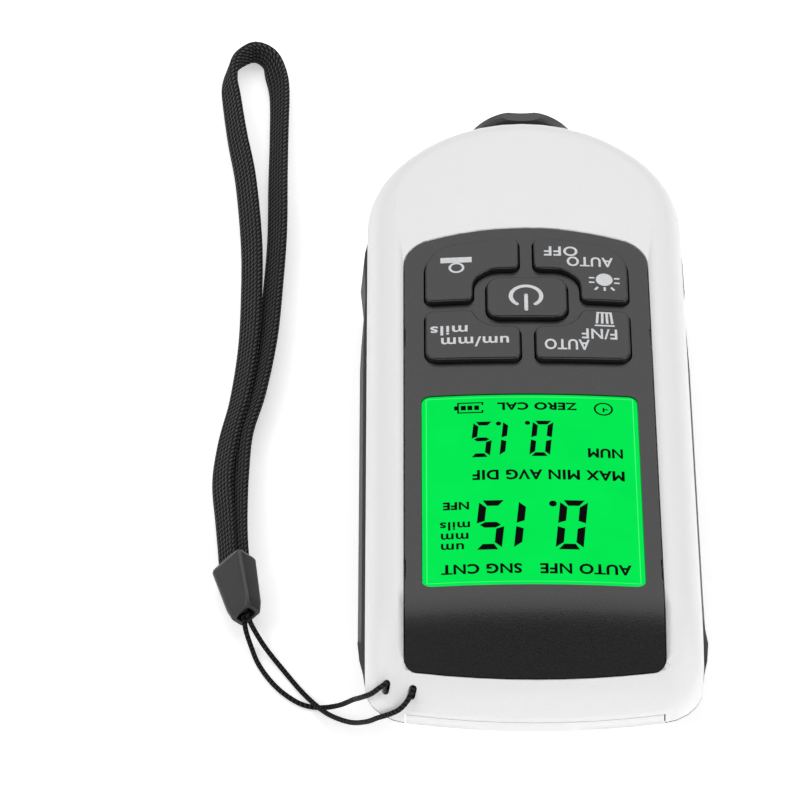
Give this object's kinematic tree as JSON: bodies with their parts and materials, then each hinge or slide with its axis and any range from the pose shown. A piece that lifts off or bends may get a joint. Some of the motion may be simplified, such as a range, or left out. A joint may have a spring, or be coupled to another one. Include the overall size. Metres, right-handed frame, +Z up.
{
  "type": "coating thickness gauge",
  "caption": "Hand-held coating thickness gauge with a spring-loaded probe, keypad, green display and wrist strap, lying face up",
  "frame": {"origin": "under the middle of the body's length and width, on the surface it lies on", "axes": "+X to the right seen from the strap end, +Y from the strap end to the probe, +Z up out of the face"},
  "size_m": [0.0778, 0.179, 0.0278],
  "materials": {
    "white_shell": "fine satin texture",
    "dark_shell": "soft-touch matte",
    "face_grey": "fine speckled matte",
    "clear_window": "clear",
    "lcd_green": "lit from behind",
    "light_guide": "translucent",
    "frame_ivory": "matte",
    "board_green": "solder mask",
    "chip_black": "matte",
    "mat_rubber": "matte",
    "key_rubber": "matte",
    "probe_dark": "satin",
    "steel": "plain",
    "ferrite": "matte",
    "copper_wire": "enamelled wire",
    "cell_jacket": "shrink sleeve",
    "ferrule_rubber": "matte",
    "strap_black": "braided"
  },
  "bodies": {
    "case": {"front_case": "white_shell", "back_case": "dark_shell", "faceplate": "face_grey", "display_window": "clear_window", "lcd_cell": "lcd_green", "backlight": "light_guide", "lcd_frame": "frame_ivory", "contact_strip": "mat_rubber", "main_board": "board_green", "board_chips": "chip_black", "buzzer": "chip_black", "keypad_mat": "mat_rubber", "probe_collar": "probe_dark", "probe_spring": "steel", "barrel_plug": "probe_dark", "battery_left": "cell_jacket", "battery_right": "cell_jacket", "battery_springs": "steel", "battery_contacts": "steel", "case_screws": "steel", "board_screws": "steel", "strap_ferrule": "ferrule_rubber", "strap_braid": "strap_black", "strap_cord": "strap_black"},
    "power_key": {"key_power": "key_rubber"},
    "zero_key": {"key_zero": "key_rubber"},
    "light_key": {"key_light": "key_rubber"},
    "unit_key": {"key_unit": "key_rubber"},
    "mode_key": {"key_mode": "key_rubber"},
    "probe": {"probe_sleeve": "probe_dark", "probe_tip": "steel", "probe_core": "ferrite", "probe_coil": "copper_wire"},
    "cover": {"battery_cover": "white_shell"}
  },
  "joints": [
    {"name": "power_press", "type": "slide", "parent": "case", "child": "power_key", "axis": [0, 0, -1], "range_m": [0, 0.0007], "stiffness_N_per_m": 1500},
    {"name": "zero_press", "type": "slide", "parent": "case", "child": "zero_key", "axis": [0, 0, -1], "range_m": [0, 0.0007], "stiffness_N_per_m": 1500},
    {"name": "light_press", "type": "slide", "parent": "case", "child": "light_key", "axis": [0, 0, -1], "range_m": [0, 0.0007], "stiffness_N_per_m": 1500},
    {"name": "unit_press", "type": "slide", "parent": "case", "child": "unit_key", "axis": [0, 0, -1], "range_m": [0, 0.0007], "stiffness_N_per_m": 1500},
    {"name": "mode_press", "type": "slide", "parent": "case", "child": "mode_key", "axis": [0, 0, -1], "range_m": [0, 0.0007], "stiffness_N_per_m": 1500},
    {"name": "probe_press", "type": "slide", "parent": "case", "child": "probe", "axis": [0, -1, 0], "range_m": [0, 0.0015], "stiffness_N_per_m": 800, "deforming": ["probe_spring"]},
    {"name": "cover_slide", "type": "slide", "parent": "case", "child": "cover", "axis": [0, -1, 0], "range_m": [0, 0.05]}
  ]
}
